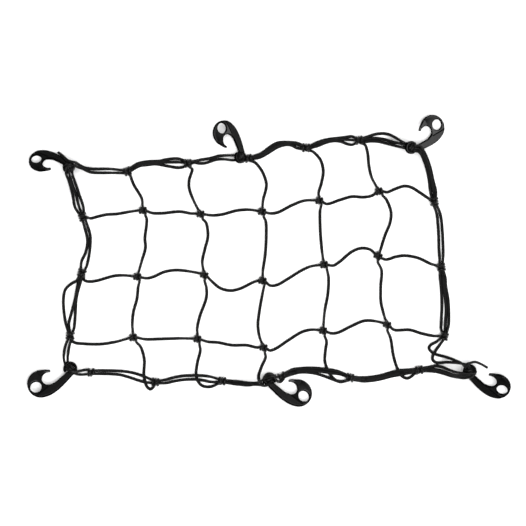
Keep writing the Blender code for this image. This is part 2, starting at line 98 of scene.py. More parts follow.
# Cord stops: (x, y) on the floor; (x, y, hook, height) beside a hook, its height above the
# hook's middle; a knot's name where the cord is tied; (name, slot) where it runs through the
# knot's core; a name with + or - where it starts inside, in slot 1 or -1
ROWS = {
    "row_1": (
        "L1", (91, 218.4), (99, 216.3), (107, 214.6), (117, 214), (129, 211.9), ("K11", 0),
        (152, 213), (162, 213.3), (180, 211.7), (191, 213.5), ("K12", 0), (212, 215.4),
        (222, 214.5), (238, 210.4), (250, 209.8), ("K13", 0), (271, 213.5), (278, 212.4),
        (292, 205.3), (304, 200.8), ("K14", 0), (326.5, 204), (340, 200), (352, 196.7),
        (364, 197.2), (373, 195.3), ("K15", 0), (387, 192.3), (394, 189.5), (404, 186.2),
        (411, 187.3), (420, 192.7), (428, 198.2), "R1"),
    "row_2": (
        "L2", (84.6, 280.4), (89, 281.6), (97, 280.7), (114, 276), (124, 275.4), ("K21", 0),
        (147, 278.3), (153, 277), (165, 271.8), (176, 270.2), (188, 271.2), ("K22", 0),
        (212, 281.5), (220, 288), (230, 290.6), (240, 288.7), (254, 282), ("K23", 0), (270, 285.5),
        (277, 285), (287, 279.5), (301, 270.8), (310, 266.7), ("K24", 0), (333, 265.7),
        (339, 262.3), (352, 251.7), (361, 248.3), (370, 249.5), ("K25", 0), (386, 259.6),
        (396, 256.8), (405, 255.7), (418, 258), (431, 264), "R2"),
    "row_3": (
        "L3", (72, 341.3), (76, 343), (83, 343.7), (92, 344.2), (102, 344), (117, 341.6),
        ("K31", 0), (145, 339.2), (160, 339), (180, 338.4), ("K32", 0), (208, 341.8), (218, 342.5),
        (232, 345.2), (247, 345.3), (257, 347.5), ("K33", 0), (270, 350.5), (276, 348.5),
        (288, 340.5), (302, 332), (311, 329.8), ("K34", 0), (331, 333.3), (338, 332.6),
        (351, 326.3), (364, 320.9), (374, 321), ("K35", 0), (394, 329.8), (410, 330), (422, 333.6),
        (434, 336), "R3"),
}
COLUMNS = {
    "column_1": (
        "T1", (130.9, 176.4), (132, 180.3), (134.2, 185.4), (142, 199), "K11", (146.8, 219),
        (146.5, 226), (145, 238), (145.5, 248), (142, 260.5), "K21", (138.3, 287), (137, 299),
        (133.5, 312), (132.4, 324), "K31", (140.5, 346.5), (144.3, 359), (144, 374),
        (145.3, 382.5), (147.3, 387), (150.5, 389.2), (153.3, 387.4), "B1"),
    "column_2": (
        "T2", (192.4, 169.5), (189.3, 180), (189.2, 188), (193, 199), "K12", (206, 222.5),
        (208, 236), (205, 249), (202.3, 262), "K22", (206.5, 288), (206.3, 298), (200, 316),
        (197.3, 328), "K32", (200.4, 350), (197.4, 363), (196.2, 375), (198.5, 382), (203, 386),
        (210, 386.8), (215.5, 385), "B2"),
    "column_3": (
        "T3", (253.6, 161.7), (256.6, 163.9), (263, 173), (266.5, 185), (263.2, 200), "K13",
        (265.7, 221), (266.3, 236), (265.2, 255), (263, 270), "K23", (262.5, 294), (259.5, 311),
        (258, 325), (259.5, 336.5), "K33", (265.7, 357), (261.5, 367), (258.6, 376), (259.5, 381),
        (263, 384.5)),
    "column_4": (
        "T4", (314, 152.5), (320.5, 160), (323.3, 171), (321.5, 183), (318.6, 193), "K14",
        (320.2, 210), (320.3, 230), (322, 251), "K24", (328.5, 277), (328, 293), (324.8, 311),
        "K34", (326.5, 341), (325.3, 352), (325, 362), (329, 372.5), (332.5, 377.5),
        (336.5, 380.7), (341, 382), (345, 381.2), "B4"),
    "column_5": (
        "T5", (365.5, 145.5), (367.8, 154), (369, 166), (371.5, 177), "K15", (386, 199),
        (391, 212), (390, 223), (385, 235.5), (380.5, 250), "K25", (381.5, 270), (380.7, 287),
        (381, 302), (384, 315), "K35", (390.5, 338), (393.5, 356), (397, 367.5), (402, 376),
        (407, 378.3), (411.5, 376.3), (414.8, 373), "B5"),
}
BORDER = {
    # along the top, from the left hook to the right one
    "top_outer_1": (
        (58.5, 152.5, "A", 2.6), (63.5, 156.3, "A", 3.6), (68, 160.4, "A", 4), (72, 161.9, "A", 4),
        (76.2, 162.8, "A", 3.6), (80, 165.3), (84, 167.5), (88, 168.5), (95, 169), (110, 169),
        ("T1", 1), (136, 164.5), (142, 162.5), (150, 161.4), (160, 161), (165, 159.8),
        (172, 158.9), (180, 159), ("T2", 1), (200, 160), (208, 158.8), (214, 157.4), (218, 156.1),
        (225, 155.5), (231, 155.4, "B", -3.2), (235.5, 155.4, "B", -3.8),
        (239.6, 156.6, "B", -0.5), (242.8, 160.6, "B", 3.9), (246.2, 160.2, "B", 2.6), ("T3", -1)),
    "top_inner_1": (
        (66.8, 174.8, "A", -3.8), (68.6, 171.3, "A", -3.6), (71.2, 168.4, "A", 0.4),
        (75.3, 166.4, "A", 4), (79, 167.5), (83, 168.8), (87, 170.8), (91, 172.3), (96, 172.8),
        (110, 172.9), ("T1", -1), (134, 169), (140, 165.9), (148, 164.9), (155, 164.1),
        (160, 164.7), (170, 166.6), (178, 167.8), (183, 167.2), ("T2", -1), (194, 162.7),
        (200, 163.5), (206, 163), (211, 161.3), (215, 160), (219, 159.3), (225, 159.4),
        (230.5, 160.2, "B", -3.4), (234.5, 160.3, "B", -3.8), (238.4, 158.6, "B", -0.5),
        (240.6, 162.2, "B", 3.8), (243.6, 159.4, "B", 3.9), (246.4, 157.2, "B", 1.6), ("T3", 1)),
    "top_middle_1": (
        ("T1", 0), (134, 166.8), (141, 164.5), (150, 163), (158, 162.3), (170, 162.3),
        (180, 162.3), ("T2", 0)),
    "top_outer_2": (
        "T3+", (253, 156.5), (258, 155), (263, 152.3), (268, 148.5), (273, 145), (278, 142.8),
        (285, 142.2), (292, 142.6), (298, 143.3), ("T4", 1), (312, 145), (318, 142.3), (325, 140),
        (333, 138.7), (340, 138), (347, 137.2), (352, 136.5), ("T5", 1), (370, 135.9),
        (376, 134.2), (383, 133.6), (389, 134.8), (394, 137.2), (399, 140.3),
        (403.5, 142.9, "C", -3), (407.6, 144.2, "C", -3.8), (411.6, 147, "C", 0),
        (414.4, 151, "C", 3.9), (418.4, 152.3, "C", 3.6), (421, 155.2), (423.5, 160.2),
        (426.8, 169.5), (429, 180), (430.4, 192), ("R1", -1), (436.6, 213.5), (437.8, 223),
        (438.6, 235), (439, 250), (439.6, 259), ("R2", -1), (440, 276), (441.3, 290), (441.8, 306),
        (441.2, 322), (441, 329), ("R3", -1), (436, 342), (431, 344.7), (429, 348), (431, 351.3),
        (435, 354), (446, 357), (455, 360.2), (460.5, 362.6, "F", 3), (463.5, 365.5, "F", 4),
        (466.4, 368.2, "F", 1), (470, 370.6, "F", -3.6), (474, 371.5, "F", -4)),
    "top_inner_2": (
        "T3-", (253, 158.8), (258, 158), (262, 156.6), (267, 153.8), (272, 150.6), (277, 147.6),
        (283, 145.4), (288, 144.8), (292, 145.5), (297, 148.2), ("T4", -1), (313, 147.4),
        (319, 145.5), (325, 143), (331, 141.4), (336, 141), (342, 142), (347, 144), (352, 144.8),
        ("T5", -1), (364, 142), (372, 141.2), (379, 141.7), (386, 143.4), (392, 145), (398, 146.8),
        (403.5, 148.2, "C", -3.2), (407.6, 149.2, "C", -3.9), (411.4, 149, "C", 0),
        (415.2, 146, "C", 3.8), (420, 147, "C", 4), (423.4, 151.6), (427.2, 159.4), (430.6, 169),
        (433, 180), (436, 193), ("R1", 1), (439.4, 211.5), (441.3, 220), (442.2, 230),
        (442.9, 242), (443.1, 257), ("R2", 1), (445, 276.5), (445.8, 286), (448, 299),
        (448.8, 312), (448.4, 326), ("R3", 1), (440, 344.5), (436, 350), (433, 355),
        (432.6, 359.5), (436, 362.4), (446, 362.1), (455, 362.4), (461, 363.3, "F", 3),
        (466, 364.4, "F", 4.2), (468.6, 367, "F", 3.6), (468.4, 369.8, "F", 0.5),
        (465, 372, "F", -3.8), (460.5, 373.6, "F", -4)),
    "top_middle_2": (
        (250.5, 157.6), (256, 156.4), (262, 154.6), (268, 151), (274, 147.8), (280, 144.9),
        (286, 143.4), (294, 143.9), ("T4", 0), (315, 144), (325, 141.8), (340, 139.6), ("T5", 0),
        (372, 138.4), (380, 138.7), (388, 140.6), (394, 142.5), (399, 143.6),
        (403.6, 145.5, "C", -3.2), (407.4, 146.9, "C", -3.8), (411.6, 148.4, "C", 0),
        (414.8, 148.6, "C", 3.9), (419, 149.8, "C", 3.9), (422.2, 153.6), (425.4, 160),
        (428.8, 169.4), (431.2, 180), (433.6, 193), ("R1", 0)),
    "right_middle": (
        ("R2", 0), (442.6, 276), (443.5, 285), (445.3, 300), (446, 310), (445.5, 320), (445, 328),
        ("R3", 0)),
    # down the left
    "left_outer": (
        (70.4, 163.6, "A", -3.8), (69.3, 167, "A", -0.5), (67, 170.3, "A", 3.9),
        (67, 174.6, "A", 3.4), (69, 179.5), (70.6, 185), (72.8, 195), (75.4, 208), ("L1", -1),
        (84.6, 227), (87, 236), (87.6, 243), (85.5, 253), (81.5, 262), ("L2", -1), (76.5, 280.8),
        (73, 282.8), (68, 286.5), (65, 290.5), (63.6, 298), (63.6, 307), (65.2, 320), (66.8, 327),
        ("L3", -1), (65.4, 346), (64, 354), (63.9, 359.5, "D", -3.6), (65.2, 364, "D", -3.8),
        (67.2, 367.4, "D", 0), (70.6, 370.8, "D", 3.9), (76, 371.4, "D", 3.8), (82, 370.4),
        (87, 369.6), ("B0", 1), (97, 370.6), (108, 370.6), (120, 371), (130, 372.2), (138, 374.2),
        (146, 377.2), ("B1", 1), (166, 379.6), (175, 377.2), (184, 375.8), (200, 375.5),
        (210, 376.6), ("B2", 1), (232, 380.9), (240, 381.6), (247, 382.5), (254, 382.6),
        (259, 381.8, "E", 3.6), (264, 378.6, "E", 4), (268.6, 376.4, "E", 3.2),
        (271.4, 378.9, "E", -0.5), (272.8, 382.6, "E", -3.8)),
    "left_middle_1": (
        (73.2, 166, "A", -2), (72.4, 169, "A", 1), (69.9, 172.4, "A", 3.9), (71.3, 178.6),
        (73.3, 186), (76.2, 195), (78.6, 205), ("L1", 0)),
    "left_inner": (
        (76.4, 163.5, "A", -3.6), (74.6, 167.2, "A", -1), (72.9, 171, "A", 3.9),
        (73.2, 174.6, "A", 3.4), (75, 180.4), (77.4, 188), (79.4, 195), (83.4, 207), ("L1", 1),
        (88, 227), (90.2, 235), (90.3, 245), (88.7, 258), (86.8, 266), ("L2", 1), (80, 284.5),
        (78, 291), (76.2, 300), (75.6, 310), (75, 320), (74.2, 328), ("L3", 1), (69.4, 346),
        (68, 355), (67.6, 360, "D", -3.6), (67.8, 364.5, "D", -3.4), (69.6, 368.4, "D", -2.4),
        (72.6, 371.8, "D", -3.8), (77.5, 374.2, "D", -3.8), (83, 374.6), ("B0", -1), (97, 373.8),
        (108, 373.9), (120, 374.8), (130, 377.5), (138, 380.2), (146, 382.3), ("B1", -1),
        (166, 383), (175, 381), (184, 379.7), (197, 379.4), (205, 380.7), (211, 381.9), ("B2", -1),
        (232, 383.6), (240, 384.3), (247, 384.9), (254, 384.2), (260, 384.6, "E", 3.4),
        (265, 385.4, "E", 3.9), (269.6, 383, "E", 3.6), (272.4, 378.6, "E", 0),
        (275.2, 375.6, "E", -3.8)),
    "left_middle_2": (
        ("L2", 0), (78, 284), (77, 290), (74.8, 301), (71, 315), (69, 324), ("L3", 0)),
    # along the bottom, from the middle hook to the right one
    "bottom_inner": (
        (265.4, 381.2, "E", -3.8), (268.2, 379.6, "E", 0), (271.5, 376, "E", 3.9),
        (276, 376.8, "E", 3.4), ("B3", 1), (292, 369.6), (300, 368.4), (310, 367.9), (320, 368.4),
        (331, 369.8), (340, 371.9), ("B4", 1), (362, 377.5), (372, 376.9), (382, 375),
        (390, 372.7), (398, 370.6), (408, 369.7), ("B5", 1), (429, 366.9), (436, 365.8),
        (442, 366.9), (449, 369.7), (456, 372, "F", 3.4), (462, 373, "F", 3.8),
        (470, 373.3, "F", 4), (475.3, 373, "F", 3.2)),
    "bottom_outer": (
        (264.6, 376.8, "E", 4), (268.2, 373.9, "E", 3.9), (273.4, 375.8, "E", 3.8),
        (276.5, 380.2, "E", 3.6), (280.2, 381.6), (283.5, 378.6), ("B3", -1), (292, 374.2),
        (300, 372.4), (308, 372.4), (316, 373.6), (325, 376.4), (331, 378.6), (338, 381),
        (344, 381), ("B4", -1), (362, 381.1), (372, 380.6), (382, 378.8), (390, 376.6), (398, 375),
        (406, 373.6), ("B5", -1), (430, 371.2), (437, 371.8), (444, 373.6), (452, 376.1),
        (458, 377.3, "F", 3.4), (463, 377.9, "F", 3.8), (468, 377.2, "F", 4),
        (472.5, 375.6, "F", 4.4), (475.6, 371, "F", 1)),
    "bottom_middle_1": (
        ("B3", 0), (296, 371.4), (310, 370.6), (320, 371.2), (330, 372.8), (340, 374.2), ("B4", 0)),
    "bottom_middle_2": (
        ("B4", 0), (366, 379.3), (378, 377.6), (390, 374.8), (402, 372), ("B5", 0), (430, 368.8),
        (437, 369.7), (444, 371.5), (452, 374.2), (458, 375.3, "F", 3.6), (464, 375.6, "F", 3.8),
        (470, 375.2, "F", 3.8)),
    # a cut end at the right hook
    "tail_right": (
        (464.6, 366.8, "F", 3.8), (466.6, 363.4, "F", 4.4), (469.6, 362.6, "F", 3.8),
        (474, 361.5, "F", 3.2), (480, 363.6, "F", 2.4), (486.6, 367.3, "F", 1.8)),
}

# The cord wound through each hook's eye: the direction of its turns on the sheet, in degrees
LASHINGS = {"A": -12, "B": -50, "C": 58, "D": -38, "E": 32, "F": 18}
# Border knots tied with a short length of their own, and knots whose turns run the other way
WHIPPINGS = ("B0", "B3")
MIRRORED = {"L2", "R1", "T2", "T4", "B1", "B4"}

# A hitch round a core: turn round the core in degrees, place along it in pitches, and how far
# the cord rides on the turns below it
HITCH = (
    (52, 0.0, 0.0), (90, -0.42, 0.0), (130, -0.86, 0.0), (180, -0.98, 0.0), (230, -0.98, 0.0),
    (270, -0.98, 0.0), (315, -0.98, 0.0), (360, -0.97, 0.0), (402, -0.84, 0.5), (428, -0.66, 0.95),
    (450, -0.47, 1.0), (474, -0.28, 0.92), (502, -0.1, 0.45), (540, 0.0, 0.0), (585, 0.04, 0.0),
    (630, 0.3, 0.0), (675, 0.72, 0.0), (720, 0.96, 0.0), (765, 0.98, 0.0), (810, 0.98, 0.0),
    (850, 0.98, 0.0),
)
# Places of a bundle's cords in a knot's core: across, up, in mm; then the core's half sizes
CORE_SINGLE = ({0: (0.0, 0.0)}, 1.3, 1.3)
CORE_DOUBLE = ({1: (1.15, 0.6), -1: (-1.15, -0.6)}, 1.75, 1.7)
CORE_WIDE = ({1: (1.45, 0.3), -1: (-1.45, -0.3)}, 1.95, 1.4)
CORE_TRIPLE = ({1: (1.4, -0.7), -1: (-1.4, -0.7), 0: (0.0, 1.1)}, 1.95, 2.1)


# ---------------------------------------------------------------- settings

class CordSettings(bpy.types.PropertyGroup):
    """The cords' sizes and their cover"""
    diameter: bpy.props.FloatProperty(
        name="Cord diameter", description="Across a slack cord", default=0.0031,
        min=0.001, max=0.01, unit="LENGTH")
    knot_diameter: bpy.props.FloatProperty(
        name="Diameter in knots", description="Across a cord that a knot stretches",
        default=0.0027, min=0.001, max=0.01, unit="LENGTH")
    step: bpy.props.FloatProperty(
        name="Ring spacing", description="Distance between a cord's rings", default=0.0011,
        min=0.0003, max=0.01, unit="LENGTH")
    knot_step: bpy.props.FloatProperty(
        name="Ring spacing in knots", description="Distance between rings in a tight turn",
        default=0.0006, min=0.0003, max=0.01, unit="LENGTH")
    sides: bpy.props.IntProperty(
        name="Sides", description="Sides of a cord's cross-section", default=12, min=6, max=32)
    cover: bpy.props.FloatVectorProperty(
        name="Cover colour", description="Yarn of the braided cover", subtype="COLOR",
        default=(0.0034, 0.0034, 0.0034), min=0.0, max=1.0)
    carriers: bpy.props.IntProperty(
        name="Carriers", description="Yarns of the braid that run each way", default=8,
        min=4, max=16)
    pick: bpy.props.FloatProperty(
        name="Braid pitch", description="Length of one diamond of the braid", default=0.0013,
        min=0.0003, max=0.01, unit="LENGTH")


class HookSettings(bpy.types.PropertyGroup):
    """The hooks' plate and their plastic"""
    thickness: bpy.props.FloatProperty(
        name="Plate thickness", description="Thickness of the shank", default=0.0046,
        min=0.002, max=0.01, unit="LENGTH")
    edge: bpy.props.FloatProperty(
        name="Edge radius", description="Rounding of the plate's edges", default=0.001,
        min=0.0001, max=0.001, unit="LENGTH")
    step: bpy.props.FloatProperty(
        name="Head step", description="How far the head's face lies below the shank's",
        default=0.0005, min=0.0, max=0.001, unit="LENGTH")
    colour: bpy.props.FloatVectorProperty(
        name="Plastic colour", description="Moulded plastic of the hooks", subtype="COLOR",
        default=(0.0022, 0.0022, 0.0022), min=0.0, max=1.0)
    roughness: bpy.props.FloatProperty(
        name="Roughness", description="Satin finish of the moulding", default=0.22,
        min=0.0, max=1.0, subtype="FACTOR")
    # Painted shade: how dark the rounded edges and the head's step are drawn, without reflections,
    # beside the faces
    rim_shade: bpy.props.FloatProperty(
        name="Dull rim", description="How dull the rounded edges are beside the faces",
        default=1.0, min=0.0, max=1.0, subtype="FACTOR")


class StudioSettings(bpy.types.PropertyGroup):
    """Floor, lights and camera"""
    floor: bpy.props.FloatVectorProperty(
        name="Floor colour", description="Plain sweep under the net", subtype="COLOR",
        default=(0.86, 0.86, 0.86), min=0.0, max=1.0)
    overhead: bpy.props.FloatProperty(
        name="Overhead light", description="Strength of the soft light overhead", default=4.9,
        min=0.0, max=20.0)
    side: bpy.props.FloatProperty(
        name="Side light", description="Strength of the soft light from the right",
        default=0.62, min=0.0, max=20.0)
    surround: bpy.props.FloatProperty(
        name="Surround", description="Strength of the dim room around", default=0.1,
        min=0.0, max=5.0)
    lens: bpy.props.FloatProperty(
        name="Lens", description="Focal length of the camera in mm", default=400.0,
        min=50.0, max=1000.0)


# ---------------------------------------------------------------- materials

class Value:
    """A node's output that takes part in Python sums: each step adds a Math node."""

    def __init__(self, maker, socket):
        self.maker, self.socket = maker, socket

    def _math(self, operation, *terms):
        return self.maker.add("ShaderNodeMath", {"operation": operation},
                              dict(enumerate(terms)))["Value"]

    def __add__(self, other):
        return self._math("ADD", self, other)

    def __sub__(self, other):
        return self._math("SUBTRACT", self, other)

    def __rsub__(self, other):
        return self._math("SUBTRACT", other, self)

    def __mul__(self, other):
        return self._math("MULTIPLY", self, other)

    def __mod__(self, other):
        return self._math("FLOORED_MODULO", self, other)

    __radd__, __rmul__ = __add__, __mul__

    def floor(self):
        return self._math("FLOOR", self)

    def sine(self):
        return self._math("SINE", self)

    def absolute(self):
        return self._math("ABSOLUTE", self)

    def clamped(self):
        return self._math("MINIMUM", self._math("MAXIMUM", self, 0.0), 1.0)


class Outputs:
    """A node's outputs by name or number."""

    def __init__(self, maker, node):
        self.maker, self.node = maker, node

    def __getitem__(self, name):
        return Value(self.maker, self.node.outputs[name])


class Finish:
    """One material under construction."""

    def __init__(self, name):
        self.material = bpy.data.materials.new(name)
        self.material.use_nodes = True
        self.tree = self.material.node_tree
        self.shader = self.tree.nodes["Principled BSDF"]

    def add(self, kind, settings=None, inputs=None):
        """A node of that type, its settings set first and then its inputs' values or links."""
        node = self.tree.nodes.new(kind)
        for name, value in (settings or {}).items():
            setattr(node, name, value)
        self.feed(node, inputs or {})
        return Outputs(self, node)

    def feed(self, node, inputs):
        """Values or links for a node's inputs."""
        for name, value in inputs.items():
            if isinstance(value, Value):
                self.tree.links.new(value.socket, node.inputs[name])
            else:
                node.inputs[name].default_value = value

    def mix(self, factor, low, high):
        """A colour between two, as RGBA values or links; such sockets are known by number."""
        return self.add("ShaderNodeMix", {"data_type": "RGBA"},
                        {"Factor": factor, 6: low, 7: high})[2]

    def noise(self, where, scale, detail=2.0, rough=0.5, distortion=0.0):
        """Soft noise from 0 to 1; the scale is in patches to the metre."""
        return self.add("ShaderNodeTexNoise", None, {
            "Vector": where, "Scale": scale, "Detail": detail, "Roughness": rough,
            "Distortion": distortion})["Fac"]

    def bump(self, height, strength, distance):
        """The normal of a relief, its distance in metres."""
        return self.add("ShaderNodeBump", None, {
            "Height": height, "Strength": strength, "Distance": distance})["Normal"]

    def blend(self, factor, inputs):
        """A second plain surface, laid over the first where the factor is 1."""
        first = Value(self, self.shader.outputs["BSDF"])
        second = self.add("ShaderNodeBsdfPrincipled", None, inputs)["BSDF"]
        both = self.add("ShaderNodeMixShader", None, {"Fac": factor, 1: first, 2: second})
        self.feed(self.tree.nodes["Material Output"], {"Surface": both["Shader"]})

    def finish(self, inputs):
        """The material, with those inputs on its first surface."""
        self.feed(self.shader, inputs)
        return self.material


def rgba(colour, factor=1.0):
    """A colour made lighter or darker, with its alpha."""
    return (*(min(1.0, part * factor) for part in colour), 1.0)


# Cover of the cords: what a yarn loses of its height where it passes under another, its colours
# in the grooves and on the crowns as shares of the setting (painted shade in the grooves and a
# painted highlight on the crowns), relief in metres, the roughness of a slack cover, and how
# much smoother a stretched cover and its crowns are
YARN_DIP = 0.45
YARN_GROOVE_SHADE_CROWN_HIGHLIGHT = 0.3, 1.5
YARN_RELIEF = 0.00022
SLACK_ROUGHNESS, STRETCHED_SHINE, CROWN_SHINE = 0.82, 0.44, 0.12


def braided_cover(settings):
    """Black yarn braided over the elastic: two sets of helices that pass over and under."""
    finish = Finish("braided_black_yarn")
    place = finish.add("ShaderNodeUVMap", {"uv_map": "cord"})["UV"]
    parts = finish.add("ShaderNodeSeparateXYZ", None, {"Vector": place})
    around = parts["X"] * settings.carriers
    along = parts["Y"] * (MM / settings.pick)
    left, right = around + along, around - along
    crown_left = (left * math.pi).sine().absolute()
    crown_right = (right * math.pi).sine().absolute()
    dip = (left.floor() + right.floor()) % 2.0 * YARN_DIP
    height = (crown_left * (1.0 - YARN_DIP + dip) + crown_right * (1.0 - dip)) * 0.5
    where = finish.add("ShaderNodeTexCoord")["Object"]
    wear = finish.noise(where, 90.0, 3.0, 0.6)
    fibre = finish.noise(where, 2600.0, 2.0, 0.6)
    # painted shade and highlight: the colour follows the relief, dark in the grooves between yarns
    # and light on their crowns; the wear and fibre noise add real tone
    painted_crown_light = (height * 1.6 - 0.35).clamped()
    crown_light_and_wear = (painted_crown_light * 0.75 + wear * 0.35 + fibre * 0.2 - 0.12).clamped()
    stretched = finish.add("ShaderNodeAttribute", {"attribute_name": "tied"})["Fac"]
    return finish.finish({
        "Base Color": finish.mix(crown_light_and_wear, *(rgba(settings.cover, shade) for shade in YARN_GROOVE_SHADE_CROWN_HIGHLIGHT)),
        "Roughness": SLACK_ROUGHNESS - stretched * STRETCHED_SHINE - crown_light_and_wear * CROWN_SHINE,
        "Specular IOR Level": 0.13,
        "Normal": finish.bump(height + fibre * 0.25, 0.6, YARN_RELIEF)})


# Plastic of the hooks: its darkest and lightest colours as shares of the setting, how much
# smoother than the setting a clean face is, how much rougher clouds and scuffs are than that,
# and the grain's depth in metres
PLASTIC_SHADES = 0.8, 1.5
CLEAN_SHINE, CLOUD_ROUGHNESS, SCUFF_ROUGHNESS = 0.05, 0.08, 0.05
GRAIN_DEPTH = 0.00004


def satin_plastic(settings):
    """Black moulded plastic: smooth satin faces with a fine grain and scuffs, and painted shade on
    the rounded edges and the step, drawn dark without reflections.
    """
    finish = Finish("satin_black_plastic")
    where = finish.add("ShaderNodeTexCoord")["Object"]
    cloud = finish.noise(where, 55.0, 3.0, 0.55)
    grain = finish.noise(where, 1900.0)
    scuffs = ((finish.noise(where, 320.0, 5.0, 0.7, 1.2) - 0.58) * 6.0).clamped()
    # painted shade: where the attribute is 1, a dark surface without reflection is laid over the
    # plastic
    rim_shade = finish.add("ShaderNodeAttribute", {"attribute_name": "rim_shade"})["Fac"]
    finish.blend(rim_shade * settings.rim_shade, {"Base Color": rgba(settings.colour), "Roughness": 0.5,
                                      "Specular IOR Level": 0.0})
    return finish.finish({
        "Base Color": finish.mix(cloud * 0.6 + scuffs * 0.25,
                                 *(rgba(settings.colour, shade) for shade in PLASTIC_SHADES)),
        "Roughness": (settings.roughness - CLEAN_SHINE + cloud * CLOUD_ROUGHNESS
                      + scuffs * SCUFF_ROUGHNESS),
        "Normal": finish.bump(grain, 0.12, GRAIN_DEPTH)})


def plain_floor(settings):
    """A pale matt sweep with hardly any cloud in it."""
    finish = Finish("pale_floor")
    cloud = finish.noise(finish.add("ShaderNodeTexCoord")["Object"], 3.0)
    colour = finish.mix(cloud, rgba(settings.floor, 0.995), rgba(settings.floor, 1.005))
    return finish.finish({"Base Color": colour, "Roughness": 0.9, "Specular IOR Level": 0.0})


# ---------------------------------------------------------------- shared tools

def on_sheet(x, y, height=0.0):
    """A sheet position and a height, in mm, in the row frame in mm."""
    return Vector((x - SHEET_CENTRE[0], SHEET_CENTRE[1] - y, height))


def heading(degrees):
    """A level direction, counted from the x axis."""
    return Vector((math.cos(math.radians(degrees)), math.sin(math.radians(degrees)), 0.0))


def facing(direction, aim):
    """A direction, turned round if it points away from the aim."""
    return -direction if direction.dot(aim) < 0 else direction


def select_mesh():
    """Selects the whole mesh that is being edited."""
    bpy.ops.mesh.select_all(action="SELECT")


def deselect_all():
    """Leaves edit mode and selects nothing."""
    if bpy.context.object and bpy.context.object.mode != "OBJECT":
        bpy.ops.object.mode_set(mode="OBJECT")
    bpy.ops.object.select_all(action="DESELECT")


def new_piece(name, mesh, material, slot, *nodes):
    """A finished piece in the scene: it rides on the net and stands for those CAD nodes."""
    item = bpy.data.objects.new(name, mesh)
    bpy.context.scene.collection.objects.link(item)
    mesh.materials.clear()
    mesh.materials.append(material)
    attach(item, "root")
    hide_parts(*nodes)


# ---------------------------------------------------------------- hooks

# The hook's outline in its own plane, in mm round the head's centre; circles as (x, y, radius)
HEAD_RADIUS = 14.0
FINGER_HOLE = (-5.1, -3.5, 5.75)
MOUTH = (7.2, 5.4, 6.7)
EYE = (28.9, 15.6)
EYE_RADIUS, EYE_HOLE_RADIUS = 7.0, 4.7
EYE_SLIT = (214.0, 232.0)  # the open part of the eye's ring, in degrees
BACK_EDGE = ((7.0, -12.6), (10.4, -11.0), (13.7, -8.9), (17.3, -6.1), (20.7, -2.9), (23.7, 0.2),
             (26.6, 3.6), (29.1, 6.4), (31.2, 9.0))
FRONT_EDGE = ((24.9, 11.2), (23.6, 10.0), (21.1, 7.6), (18.7, 5.4), (14.6, 1.7), (12.6, 0.3))
TIP_EDGE = ((8.45, 12.2), (9.0, 12.75), (9.15, 13.4), (8.8, 14.0), (8.1, 14.35), (6.8, 14.42),
            (5.4, 14.4), (3.6, 14.3), (1.6, 14.15))
HALF_PLATE = 2.3  # half the plate's thickness
SOLID_EDGE = 0.35  # how far the solid's outermost edge lies below its face

# The step between head and shank: its two ends, and the cuts along it on either side
STEP_START, STEP_END = Vector((-3.3, -12.4)), Vector((8.2, -2.9))
STEP_ALONG = (STEP_END - STEP_START).normalized()
STEP_SQUARE = Vector((-STEP_ALONG.y, STEP_ALONG.x))
STEP_CUTS = (-0.75, -0.55, 0.6, 0.8)
STEP_MARGIN = 0.4  # the groove's painted shade fades out this far past the inner end
ON_CUT, PAST_CUT = 0.05, 0.1  # how near a cut a corner gets the groove's painted shade, or is lowered, with it

# The thin tip: the directions in which it is cut across, in degrees from the head's centre,
# and the share of its thickness that it keeps within each distance of its point
TIP_POINT = Vector((9.2, 13.4))
TIP_ROOT = 11.0  # the corners above this height in the plane are the tip's
TIP_CUTS = range(50, 92, 6)
TIP_THINNING = ((9.0, 0.97), (7.0, 0.95), (5.0, 0.91), (3.0, 0.9), (1.3, 0.9))

# Painted shade on the rims: the upright part of a normal below which a corner starts to be shaded,
# how soon it is fully shaded, and how the tip's rims are left lighter, with that share of the
# shade at the point and all of it from that distance on
RIM_SHADE_START, RIM_SHADE_SPREAD = 0.985, 0.03
TIP_SHADE_KEPT, TIP_REACH = 0.35, 7.0


def arc(centre, radius, start, end, steps):
    """Points round a circle from start to end degrees, both ends included."""
    angles = [math.radians(start + (end - start) * i / steps) for i in range(steps + 1)]
    return [(centre[0] + radius * math.cos(a), centre[1] + radius * math.sin(a)) for a in angles]


def hook_outline():
    """The hook's outline in its own plane in mm, counterclockwise from the top of the head.

    Each arc has its start and end in degrees, and its number of steps.
    """
    slit_start, slit_end = EYE_SLIT
    points = arc((0.0, 0.0), HEAD_RADIUS, 92, 290, 44)
    points += BACK_EDGE
    points += arc(EYE, EYE_RADIUS, -40, slit_start, 34)
    points += arc(EYE, EYE_HOLE_RADIUS, slit_start, slit_end - 360.0, 36)
    points += FRONT_EDGE
    points += arc(MOUTH[:2], MOUTH[2], 306, 84, 34)
    points += TIP_EDGE
    return points


